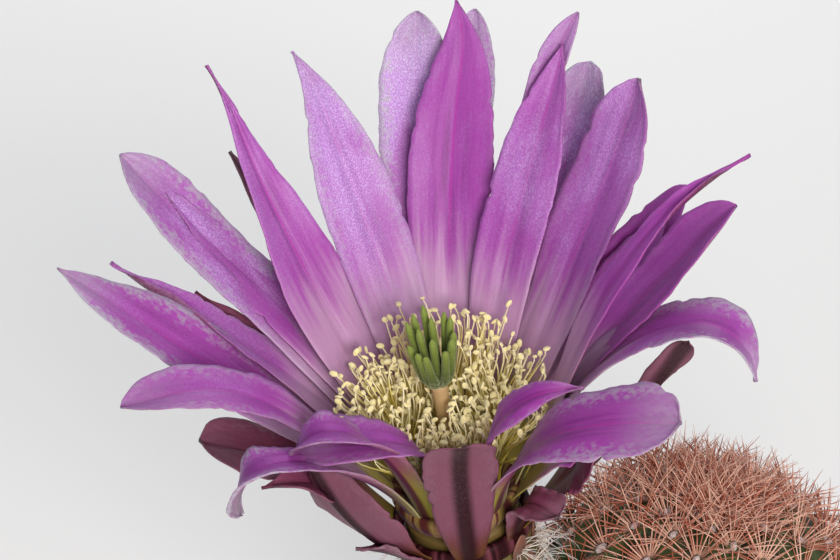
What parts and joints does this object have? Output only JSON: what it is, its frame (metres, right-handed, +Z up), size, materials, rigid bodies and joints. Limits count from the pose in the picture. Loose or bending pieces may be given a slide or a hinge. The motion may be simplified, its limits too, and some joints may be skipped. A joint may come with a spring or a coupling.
{
  "type": "hedgehog cactus",
  "caption": "Short ribbed stem, cut flat at its foot and covered in radiating reddish spines, with one wide-open pink funnel-shaped flower rising from its shoulder.",
  "frame": {"origin": "middle of the stem's flat cut foot, on the surface that it stands on", "axes": "+Z up along the foot of the stem; the flower grows out of the stem's -X side and leans a little to -Y"},
  "size_m": [0.1081, 0.0629, 0.123],
  "materials": {
    "stem": "matte",
    "floral_tube": "matte",
    "outer_tepals": "satin",
    "inner_tepals": "satin",
    "stamens": "matte",
    "style": "satin",
    "stigma": "matte"
  },
  "bodies": {
    "root": {"stem": "stem", "floral_tube": "floral_tube", "outer_tepals": "outer_tepals", "inner_tepals": "inner_tepals", "stamens": "stamens", "style": "style", "stigma": "stigma"}
  },
  "joints": []
}
